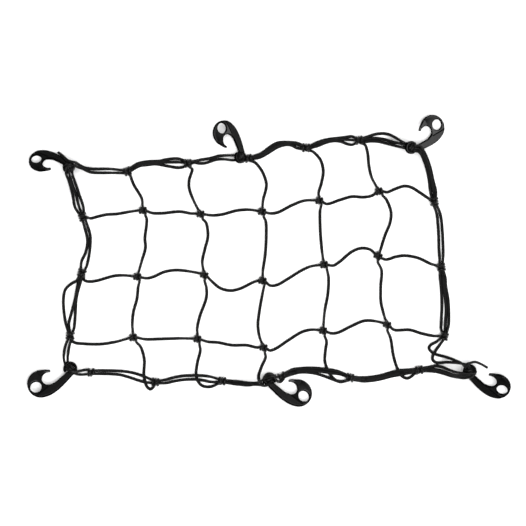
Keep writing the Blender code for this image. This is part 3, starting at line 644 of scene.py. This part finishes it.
def trace_outline(points, hole):
    """An outline drawn one extruded corner after another, filled up to a round hole, in mm."""
    bpy.ops.mesh.primitive_plane_add(size=MM)
    hook = bpy.context.object
    bpy.ops.object.mode_set(mode="EDIT")
    select_mesh()
    bpy.ops.mesh.merge(type="CENTER")
    bpy.ops.transform.translate(value=(points[0][0] * MM, points[0][1] * MM, 0.0))
    for before, point in zip(points, points[1:]):
        move = ((point[0] - before[0]) * MM, (point[1] - before[1]) * MM, 0.0)
        bpy.ops.mesh.extrude_vertices_move(TRANSFORM_OT_translate={"value": move})
    select_mesh()
    bm = bmesh.from_edit_mesh(hook.data)
    for corner in bm.verts:
        corner.select = len(corner.link_edges) == 1
    bm.select_flush_mode()
    bmesh.update_edit_mesh(hook.data)
    bpy.ops.mesh.edge_face_add()
    bpy.ops.mesh.select_all(action="DESELECT")
    bpy.ops.mesh.primitive_circle_add(vertices=48, radius=hole[2] * MM, fill_type="NOTHING",
                                      location=(hole[0] * MM, hole[1] * MM, 0.0))
    select_mesh()
    bpy.ops.mesh.fill(use_beauty=True)
    return hook


def apply_modifier(item, kind, **settings):
    """Adds a modifier with those settings and applies it."""
    modifier = item.modifiers.new(kind.title(), kind)
    for name, value in settings.items():
        setattr(modifier, name, value)
    bpy.context.view_layer.objects.active = item
    bpy.ops.object.modifier_apply(modifier=modifier.name)


def select_corners(item, test):
    """Selects a mesh's corners by their place in mm; the mesh is in edit mode."""
    bm = bmesh.from_edit_mesh(item.data)
    for face in bm.faces:
        face.select = False
    for corner in bm.verts:
        corner.select = bool(test(corner.co / MM))
    bm.select_flush(True)
    bmesh.update_edit_mesh(item.data)


def beside_step(place):
    """How far a place in the hook's plane, in mm, lies across and along from the step's end."""
    offset = place.xy - STEP_END
    return offset.dot(STEP_SQUARE), offset.dot(STEP_ALONG)


def on_step_side(place):
    """Whether a corner belongs to the head's side of the step, where the plate is thinner."""
    aside, along = beside_step(place)
    return aside > STEP_CUTS[2] - PAST_CUT and along < -PAST_CUT


def model_hook(settings):
    """One hook, flat on its own plane with the head's centre at the origin."""
    deselect_all()
    hook = trace_outline(hook_outline(), FINGER_HOLE)
    hook.name = "hook_pattern"
    half = settings.thickness / 2
    select_mesh()
    bpy.ops.mesh.dissolve_limited(angle_limit=math.radians(0.1))
    bpy.ops.transform.translate(value=(0.0, 0.0, -half))
    select_mesh()
    bpy.ops.mesh.extrude_region_move(
        TRANSFORM_OT_translate={"value": (0.0, 0.0, settings.thickness)})
    select_mesh()
    bpy.ops.mesh.normals_make_consistent(inside=False)
    bpy.ops.object.mode_set(mode="OBJECT")
    apply_modifier(hook, "BEVEL", width=settings.edge, segments=5, limit_method="ANGLE",
                   angle_limit=math.radians(60), use_clamp_overlap=False)
    bpy.ops.object.mode_set(mode="EDIT")
    # the step between head and shank, with a narrow land on either side, and the thin tip
    cuts = [(STEP_END + STEP_SQUARE * offset, STEP_SQUARE) for offset in STEP_CUTS]
    cuts += [(place, STEP_ALONG)
             for place in (STEP_END, STEP_END + STEP_ALONG * STEP_MARGIN, STEP_START)]
    cuts += [((0.0, 0.0), heading(turn + 90)) for turn in TIP_CUTS]
    for place, square in cuts:
        select_mesh()
        bpy.ops.mesh.bisect(plane_co=(place[0] * MM, place[1] * MM, 0.0),
                            plane_no=(*square[:2], 0.0))
    select_corners(hook, on_step_side)
    bpy.ops.transform.resize(value=(1.0, 1.0, 1.0 - settings.step / half))
    for reach, factor in TIP_THINNING:
        select_corners(hook, lambda place: place.y > TIP_ROOT
                       and (place.xy - TIP_POINT).length < reach)
        bpy.ops.transform.resize(value=(1.0, 1.0, factor))
    bpy.ops.object.mode_set(mode="OBJECT")
    paint_rim_shade(hook.data)
    deselect_all()
    hook.select_set(True)
    bpy.context.view_layer.objects.active = hook
    bpy.ops.object.shade_smooth_by_angle(angle=math.radians(40))
    apply_modifier(hook, "WEIGHTED_NORMAL", keep_sharp=True, weight=100)
    return hook


def paint_rim_shade(mesh):
    """Paints shade: stores 1 on the corners of the walls and the step, less by the tip, and 0 on
    the faces; where it is 1 the plastic is drawn dark.
    """
    rim_shade = mesh.attributes.new("rim_shade", "FLOAT", "POINT")
    for corner in mesh.vertices:
        place = corner.co.xy / MM
        aside, along = beside_step(place)
        stepped = (STEP_CUTS[1] - ON_CUT < aside < STEP_CUTS[2] + ON_CUT
                   and along < STEP_MARGIN / 2)
        tilt = max(0.0, min(1.0, (RIM_SHADE_START - abs(corner.normal.z)) / RIM_SHADE_SPREAD))
        tip = min(1.0, (place - Vector(TIP_EDGE[2])).length / TIP_REACH)
        edge_shade = tilt * (TIP_SHADE_KEPT + (1.0 - TIP_SHADE_KEPT) * tip)
        rim_shade.data[corner.index].value = 1.0 if stepped else edge_shade


def hook_turn(letter):
    """Turn and size of a hook from its own plane to the row frame."""
    _, size, _, _, face_down, turn, lean_axis, lean = HOOKS[letter]
    rotation = Matrix.Rotation(math.radians(lean), 3, heading(lean_axis))
    rotation = rotation @ Matrix.Rotation(math.radians(turn), 3, "Z")
    if face_down:
        rotation = rotation @ Matrix.Rotation(math.pi, 3, "X")
    return rotation * size


def hook_centre(letter):
    """The head's centre in mm: the hook's lowest edge lies where its CAD node's does."""
    node, _, x, y = HOOKS[letter][:4]
    rotation = hook_turn(letter)
    edge = HALF_PLATE - SOLID_EDGE
    low = min((rotation @ Vector((px, py, pz))).z
              for px, py in hook_outline() for pz in (-edge, edge))
    return on_sheet(x, y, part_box(node)[0].z / MM - low)


HOOK_PLACES = {letter: (hook_turn(letter), hook_centre(letter)) for letter in HOOKS}


def hook_up(letter):
    """The direction square to a hook's plate that points up."""
    up = Vector((0.0, 0.0, 1.0))
    return facing(HOOK_PLACES[letter][0] @ up, up)


def hook_height(letter, x, y, above):
    """Height at a plan position that lies so far above a hook's middle plane, in mm."""
    centre, up = HOOK_PLACES[letter][1], hook_up(letter).normalized()
    return centre.z - ((x - centre.x) * up.x + (y - centre.y) * up.y - above) / up.z


# ---------------------------------------------------------------- cords

# Radii that the layout counts with, in mm, a little under the drawn ones: cords press together
SLACK = 1.5  # a slack cord
TIGHT = 1.3  # a cord in a knot
PRESSED = 0.95  # two cords touch at this share of their radii together

# Free cords
CLIMB = 26.0  # length over which a cord climbs to a hook, in mm
CLIMB_SLOPE = 0.32  # the steepest slope on which it is lifted over another cord
HIGH_STOP = 7.5  # a fixed stop higher than this is on a hook, and the cord climbs to it
PASSED = 1.6  # a cord that would have to rise by this many diameters runs underneath
OPEN_GAP = 4.5  # stops further apart than this have a free cord between them
LEAST_GAP = 0.05  # and stops nearer than this count as this far apart
LIFT_ROUNDS, FREE_ROUNDS, WIDTH_ROUNDS = 6, 10, 8  # how often each is smoothed

# Hitches
PITCH = 1.85, 2.05  # least and greatest distance between their turns, in radii
OUTER_TURN = 0.98  # where their outermost turns lie, in pitches
RIDE = 1.7  # how high a turn rides over the others, in radii
MESH_RUN, BORDER_RUN = 0.95, 0.35  # half of a cord's straight run in a core, in pitches
ARRIVAL = 3.2, 0.9  # a tied cord's first stop: beyond the turns, and off the floor, in mm
LEAVING = 2.4, 1.05, 0.8  # where it runs on: beyond, along in pitches, off the floor
STUB = 0.35, 1.02, 0.2  # or its cut end: beyond, along, above the core's middle

# The cord wound in an eye
LASHING_TURNS, LASHING_STEPS = 3, 10
LASHING_PITCH = 1.9  # between turns, in radii
LASHING_BULGE = 0.9, 0.75  # how far turns stand out beyond the hole and the plate

# Rings that round off a cord's end: how far beyond it and how wide, as shares of its radius
END_RINGS = ((0.42, 0.5), (0.3, 0.8), (0.1, 0.96))
FLOOR_GAP = 0.02  # no part of a cord lies lower than this, in mm


def knot_in(stop):
    """The name of the knot that a stop stands for, if it does."""
    name = stop if isinstance(stop, str) else stop[0]
    return name.rstrip("+-") if isinstance(name, str) else None


def stop_place(stop):
    """A stop's plan position in mm."""
    return on_sheet(*(KNOTS.get(knot_in(stop)) or stop)[:2])


def find_bars():
    """Direction of the cords that run through each knot, and how many there are."""
    bars, counts = {}, {}
    for table in (BORDER, ROWS):
        for stops in table.values():
            for i, stop in enumerate(stops):
                name = knot_in(stop)
                if name is None or (table is ROWS and isinstance(stop, str)):
                    continue
                before = stop_place(stops[max(0, i - 1)])
                after = stop_place(stops[min(len(stops) - 1, i + 1)])
                bars[name] = bars.get(name, Vector()) + (after - before).normalized()
                counts[name] = counts.get(name, 0) + 1
    return {name: bar.normalized() for name, bar in bars.items()}, counts


BARS, COUNTS = find_bars()


def core_of(name):
    """The bundle of cords in a knot's core; at T3 four meet end to end, two side by side."""
    if name[0] == "K":
        return CORE_SINGLE
    if name == "B0":
        return CORE_WIDE
    return CORE_TRIPLE if COUNTS[name] > 2 and name != "T3" else CORE_DOUBLE


def knot_frame(name):
    """A knot's centre, directions along and across, half sizes of its turns, and their pitch."""
    x, y, width, depth = KNOTS[name]
    bar = BARS[name]
    _, half_across, half_up = core_of(name)
    length = depth if abs(bar.y) > abs(bar.x) else width
    turn_up = half_up + TIGHT
    turn_across = half_across + TIGHT * PRESSED
    pitch = min(max(TIGHT * PITCH[0], (length / 2 - TIGHT) / OUTER_TURN), TIGHT * PITCH[1])
    centre = on_sheet(x, y, turn_up + TIGHT)
    return centre, bar, Vector((-bar.y, bar.x, 0.0)), turn_across, turn_up, pitch


def through(name, slot, ahead):
    """Stops of a cord that runs straight through a knot's core."""
    centre, bar, across, _, _, pitch = knot_frame(name)
    bar = facing(bar, ahead)
    side, up = core_of(name)[0].get(slot, (0.0, 0.0))
    middle = centre + across * side + Vector((0, 0, up))
    run = MESH_RUN if name[0] == "K" else BORDER_RUN
    return [(middle + bar * pitch * k, 0.0) for k in (-run, 0.0, run)]


def hitch(name, coming, going=None):
    """Stops of a cord tied round a knot's core: where it comes from, and where it goes."""
    centre, bar, across, turn_across, turn_up, pitch = knot_frame(name)
    across = facing(across, coming - centre)
    if going:
        bar = facing(bar, going - centre)
    elif name in MIRRORED:
        bar = -bar
    on_floor = Vector((0, 0, TIGHT - centre.z))
    toward = (coming - centre).xy.normalized().to_3d()
    out, up = ARRIVAL
    places = [centre + toward * (turn_across + out) + on_floor + Vector((0, 0, up))]
    for turn, along, over in HITCH:
        angle = math.radians(turn)
        places.append(centre + bar * along * pitch + across * turn_across * math.cos(angle)
                      + Vector((0, 0, (turn_up + over * TIGHT * RIDE) * math.sin(angle))))
    out, along, up = LEAVING if going else STUB
    end = centre - across * (turn_across + out) + bar * along * pitch + Vector((0, 0, up))
    places.append(end + on_floor if going else end)
    return [(place, 0.0) for place in places]


def lashing(letter, turned):
    """Stops of a cord wound in a hook's eye, its turns side by side across the hole."""
    rotation, centre = HOOK_PLACES[letter]
    eye = centre + rotation @ Vector((*EYE, 0.0))
    up = hook_up(letter)
    across = heading(turned)
    across = (across - up * across.dot(up)).normalized()
    aside = up.cross(across)
    inside = EYE_HOLE_RADIUS * HOOKS[letter][1] - TIGHT
    beyond_hole, beyond_plate = LASHING_BULGE
    places = []
    for i in range(LASHING_TURNS * LASHING_STEPS + 1):
        turn = 2 * math.pi * i / LASHING_STEPS
        shift = (i / LASHING_STEPS - LASHING_TURNS / 2) * TIGHT * LASHING_PITCH
        reach = math.sqrt(max(0.0, inside ** 2 - shift ** 2)) + beyond_hole
        places.append((eye + across * reach * math.cos(turn) + aside * shift
                       + up * (HALF_PLATE + beyond_plate) * math.sin(turn), 0.0))
    return places


def floor_height(place, hooks):
    """Height of a free cord's centre: on the floor, or climbing to a hook it's threaded on."""
    height = SLACK
    for start in hooks:
        t = min(1.0, (place.xy - start.xy).length / CLIMB)
        height = max(height, start.z + (SLACK - start.z) * t * t * (3 - 2 * t))
    return height


def cord_stops(stops):
    """A cord's stops in mm, each with whether it is free to be lifted."""
    places = []
    last = len(stops) - 1
    for i, stop in enumerate(stops):
        if isinstance(stop, str) and stop[-1] in "+-":
            name, slot = stop[:-1], (1 if stop[-1] == "+" else -1)
            places += through(name, slot, stop_place(stops[i + 1]) - stop_place(stop))[1:]
        elif isinstance(stop, str) and 0 < i < last:
            places += hitch(stop, stop_place(stops[i - 1]), stop_place(stops[i + 1]))
        elif isinstance(stop, str):
            turns = hitch(stop, stop_place(stops[1 if i == 0 else i - 1]))
            places += turns[::-1] if i == 0 else turns
        elif isinstance(stop[0], str):
            ahead = stop_place(stops[min(i + 1, last)]) - stop_place(stops[max(i - 1, 0)])
            places += through(stop[0], stop[1], ahead)
        elif len(stop) == 4:
            place = on_sheet(stop[0], stop[1])
            place.z = hook_height(stop[2], place.x, place.y, stop[3])
            places.append((place, 0.0))
        else:
            places.append((on_sheet(*stop), 1.0))
    ends = [place for i, (place, free) in enumerate(places)
            if not free and place.z > HIGH_STOP
            and any(0 <= j < len(places) and places[j][1] for j in (i - 1, i + 1))]
    return [(Vector((place.x, place.y, floor_height(place, ends))) if free else place, free)
            for place, free in places]


def smooth_route(stops, step, tight_step):
    """Points along a centripetal Catmull-Rom curve through the stops, as (place, free)."""
    knots = [Vector((*place, free)) for place, free in stops]
    knots = [2 * knots[0] - knots[1], *knots, 2 * knots[-1] - knots[-2]]
    route = []
    for a, b, c, d in zip(knots, knots[1:], knots[2:], knots[3:]):
        t = [0.0]
        for p, q in ((a, b), (b, c), (c, d)):
            t.append(t[-1] + max(LEAST_GAP, (q.xyz - p.xyz).length) ** 0.5)
        length = (c.xyz - b.xyz).length
        spacing = step if length > OPEN_GAP else tight_step
        count = max(1, round(length / spacing))
        for i in range(count):
            s = t[1] + (t[2] - t[1]) * i / count
            ab = a.lerp(b, (s - t[0]) / (t[1] - t[0]))
            bc = b.lerp(c, (s - t[1]) / (t[2] - t[1]))
            cd = c.lerp(d, (s - t[2]) / (t[3] - t[2]))
            abc = ab.lerp(bc, (s - t[0]) / (t[2] - t[0]))
            bcd = bc.lerp(cd, (s - t[1]) / (t[3] - t[1]))
            point = abc.lerp(bcd, (s - t[1]) / (t[2] - t[1]))
            route.append((point.xyz, min(b.w, c.w)))
    route.append((knots[-2].xyz, knots[-2].w))
    return route


def smoothed(values, rounds, middle=2, ceiling=None):
    """Values along a route, averaged so many rounds with their neighbours, under a ceiling.

    The middle says how often a value itself counts beside one neighbour.
    """
    for _ in range(rounds):
        padded = [values[0], *values, values[-1]]
        values = [(before + middle * value + after) / (middle + 2)
                  for before, value, after in zip(padded, values, padded[2:])]
        if ceiling:
            values = [min(top, value) for top, value in zip(ceiling, values)]
    return values


def settle(route, laid):
    """Lifts a cord over the cords already laid, on long low humps."""
    count = len(route)
    lift = [0.0] * count
    if laid:
        tree = KDTree(len(laid))
        for i, place in enumerate(laid):
            tree.insert((place.x, place.y, 0.0), i)
        tree.balance()
        contact = 2 * SLACK * PRESSED
        for i, (place, _) in enumerate(route):
            for _, index, reach in tree.find_range((place.x, place.y, 0.0), contact):
                gap = laid[index].z + math.sqrt(contact ** 2 - reach ** 2) - place.z
                if gap < contact * PASSED:
                    lift[i] = max(lift[i], gap)
    steps = [(q[0] - p[0]).length for p, q in zip(route, route[1:])]
    for i in range(1, count):
        lift[i] = max(lift[i], lift[i - 1] - CLIMB_SLOPE * steps[i - 1])
    for i in range(count - 2, -1, -1):
        lift[i] = max(lift[i], lift[i + 1] - CLIMB_SLOPE * steps[i])
    lift = smoothed(lift, LIFT_ROUNDS)
    free = [weight for _, weight in route]
    free = smoothed(free, FREE_ROUNDS, ceiling=free)
    return [place + Vector((0, 0, up * weight))
            for (place, _), up, weight in zip(route, lift, free)]


def add_tube(bm, layers, points, free, radii, sides):
    """A round tube with domed ends along the points, in mm, with its own UV: round, along."""
    uv_layer, tied = layers
    forward = [(points[min(i + 1, len(points) - 1)] - points[max(i - 1, 0)]).normalized()
               for i in range(len(points))]
    side = forward[0].cross(Vector((0, 0, 1)))
    side = (side if side.length > 0.1 else forward[0].cross(Vector((0, 1, 0)))).normalized()
    rings, places = [], []
    distance = 0.0
    plan = [(points[0] - forward[0] * radii[0] * beyond, forward[0], radii[0] * width)
            for beyond, width in END_RINGS]
    plan += list(zip(points, forward, radii))
    plan += [(points[-1] + forward[-1] * radii[-1] * beyond, forward[-1], radii[-1] * width)
             for beyond, width in reversed(END_RINGS)]
    for i, (centre, along, radius) in enumerate(plan):
        side = (side - along * side.dot(along)).normalized()
        up = along.cross(side)
        if i:
            distance += (centre - plan[i - 1][0]).length
        ring = []
        for j in range(sides):
            angle = 2 * math.pi * j / sides
            spot = centre + (side * math.cos(angle) + up * math.sin(angle)) * radius
            spot.z = max(spot.z, FLOOR_GAP)
            ring.append(bm.verts.new(spot * MM))
            ring[-1][tied] = 1.0 - free[min(max(0, i - len(END_RINGS)), len(free) - 1)]
        rings.append(ring)
        places.append(distance)
    for i, (low, high) in enumerate(zip(rings, rings[1:])):
        for j in range(sides):
            k = (j + 1) % sides
            face = bm.faces.new((low[j], low[k], high[k], high[j]))
            spots = ((j, places[i]), (j + 1, places[i]), (j + 1, places[i + 1]),
                     (j, places[i + 1]))
            for loop, (u, v) in zip(face.loops, spots):
                loop[uv_layer].uv = (u / sides, v)
    for ring, place in ((rings[0][::-1], 0.0), (rings[-1], distance)):
        for loop in bm.faces.new(ring).loops:
            loop[uv_layer].uv = (0.5, place)


def make_cords(name, routes, settings, material):
    """One piece from several laid cords."""
    bm = bmesh.new()
    layers = bm.loops.layers.uv.new("cord"), bm.verts.layers.float.new("tied")
    slack, tight = settings.diameter / 2 / MM, settings.knot_diameter / 2 / MM
    for points, free in routes:
        radii = [tight + (slack - tight) * weight for weight in free]
        add_tube(bm, layers, points, free, radii, settings.sides)
    for face in bm.faces:
        face.smooth = True
    mesh = bpy.data.meshes.new(name)
    bm.to_mesh(mesh)
    bm.free()
    new_piece(name, mesh, material, "cord", "net")


def lay_cords(settings):
    """Each piece's cords, laid one on another: points in mm, and how slack the cord is there."""
    def route_of(stops):
        return smooth_route(stops, settings.step / MM, settings.knot_step / MM)

    laid, pieces = [], {}
    for name, table in (("mesh_rows", ROWS), ("mesh_columns", COLUMNS), ("border_cords", BORDER)):
        pieces[name] = []
        for stops in table.values():
            route = route_of(cord_stops(stops))
            points = settle(route, laid)
            laid += points
            slack = smoothed([free for _, free in route], WIDTH_ROUNDS, middle=1)
            pieces[name].append((points, slack))
    # the border's whippings and lashings, tight all along
    wound = [hitch(name, stop_place(name) + knot_frame(name)[2])[1:-1] for name in WHIPPINGS]
    wound += [lashing(letter, turned) for letter, turned in LASHINGS.items()]
    for stops in wound:
        points = [place for place, _ in route_of(stops)]
        pieces["border_cords"].append((points, [0.0] * len(points)))
    return pieces


# ---------------------------------------------------------------- studio

FLOOR_SIZE = 40.0  # m
FAR_CLIP = 100.0  # m
# Soft lights: how wide they are in degrees, and the direction they lie in
OVERHEAD = (52.0, (0.08, -0.12, 1.0))
SIDE = (34.0, (0.60, 0.10, 0.79))


def add_sun(name, strength, width, towards):
    """A large soft light at a distance, as wide as an angle in degrees."""
    light = bpy.data.lights.new(name, "SUN")
    light.energy = strength
    light.angle = math.radians(width)
    item = bpy.data.objects.new(name, light)
    bpy.context.scene.collection.objects.link(item)
    item.rotation_euler = Vector(towards).to_track_quat("Z", "Y").to_euler()
    item.visible_camera = False


def add_camera(focal_length):
    """A camera straight above the sheet, so high that the view just fills its frame."""
    lens = bpy.data.cameras.new("camera")
    lens.lens = focal_length
    lens.clip_end = FAR_CLIP
    camera = bpy.data.objects.new("camera", lens)
    bpy.context.scene.collection.objects.link(camera)
    half_angle = math.atan(lens.sensor_width / 2 / lens.lens)
    place = on_sheet(VIEW_HALF, VIEW_HALF) * MM
    place.z = VIEW_HALF * MM / math.tan(half_angle)
    camera.location = place
    bpy.context.scene.camera = camera


# ---------------------------------------------------------------- operators

class CARGONET_OT_cords(bpy.types.Operator):
    """Lays the mesh and border cords and ties them at their knots"""
    bl_idname = "cargonet.cords"
    bl_label = "Cords and knots"

    def execute(self, context):
        settings = context.scene.cargonet_cords
        material = braided_cover(settings)
        for name, routes in lay_cords(settings).items():
            if not routes:
                raise RuntimeError("no cords were laid for " + name)
            make_cords(name, routes, settings, material)
        return {"FINISHED"}


class CARGONET_OT_hooks(bpy.types.Operator):
    """Moulds the hook and lays six copies of it round the net"""
    bl_idname = "cargonet.hooks"
    bl_label = "Hooks"

    def execute(self, context):
        settings = context.scene.cargonet_hooks
        material = satin_plastic(settings)
        pattern = model_hook(settings)
        if len(pattern.data.polygons) < 100:     # an open outline leaves only a few
            raise RuntimeError("the hook's outline wasn't closed")
        for letter, (rotation, centre) in HOOK_PLACES.items():
            node = HOOKS[letter][0]
            mesh = pattern.data.copy()
            mesh.transform(Matrix.Translation(centre * MM) @ rotation.to_4x4())
            new_piece("moulded_" + node, mesh, material, "hook", node)
        bpy.data.objects.remove(pattern)
        return {"FINISHED"}


class CARGONET_OT_studio(bpy.types.Operator):
    """Sets the floor, the soft lights and the camera straight above the net"""
    bl_idname = "cargonet.studio"
    bl_label = "Studio"

    def execute(self, context):
        scene = context.scene
        settings = scene.cargonet_studio
        deselect_all()
        bpy.ops.mesh.primitive_plane_add(size=FLOOR_SIZE)
        floor = context.object
        floor.name = "floor"
        floor.data.materials.append(plain_floor(settings))
        add_sun("overhead_light", settings.overhead, *OVERHEAD)
        add_sun("side_light", settings.side, *SIDE)
        scene.world = bpy.data.worlds.new("studio_room")
        scene.world.use_nodes = True
        room = scene.world.node_tree.nodes["Background"].inputs
        room["Color"].default_value = (1, 1, 1, 1)
        room["Strength"].default_value = settings.surround
        scene.view_settings.view_transform = "Standard"
        add_camera(settings.lens)
        return {"FINISHED"}


class CARGONET_PT_panel(bpy.types.Panel):
    """Settings and steps of the cargo net"""
    bl_idname = "CARGONET_PT_panel"
    bl_label = "Cargo Net"
    bl_space_type = "VIEW_3D"
    bl_region_type = "UI"
    bl_category = "Cargo Net"

    def draw(self, context):
        for step in ("cords", "hooks", "studio"):
            box = self.layout.box()
            settings = getattr(context.scene, "cargonet_" + step)
            for name in settings.bl_rna.properties.keys():
                if name not in ("rna_type", "name"):
                    box.prop(settings, name)
            box.operator("cargonet." + step)


CLASSES = (CordSettings, HookSettings, StudioSettings, CARGONET_OT_cords, CARGONET_OT_hooks,
           CARGONET_OT_studio, CARGONET_PT_panel)


def register():
    """Adds the classes, and their settings to the scene."""
    for item in CLASSES:
        bpy.utils.register_class(item)
    bpy.types.Scene.cargonet_cords = bpy.props.PointerProperty(type=CordSettings)
    bpy.types.Scene.cargonet_hooks = bpy.props.PointerProperty(type=HookSettings)
    bpy.types.Scene.cargonet_studio = bpy.props.PointerProperty(type=StudioSettings)


def unregister():
    """Takes them away again."""
    del bpy.types.Scene.cargonet_cords
    del bpy.types.Scene.cargonet_hooks
    del bpy.types.Scene.cargonet_studio
    for item in reversed(CLASSES):
        bpy.utils.unregister_class(item)


def main():
    """Builds the whole scene."""
    register()
    bpy.ops.cargonet.studio()
    bpy.ops.cargonet.cords()
    bpy.ops.cargonet.hooks()


if __name__ == "__main__":
    main()
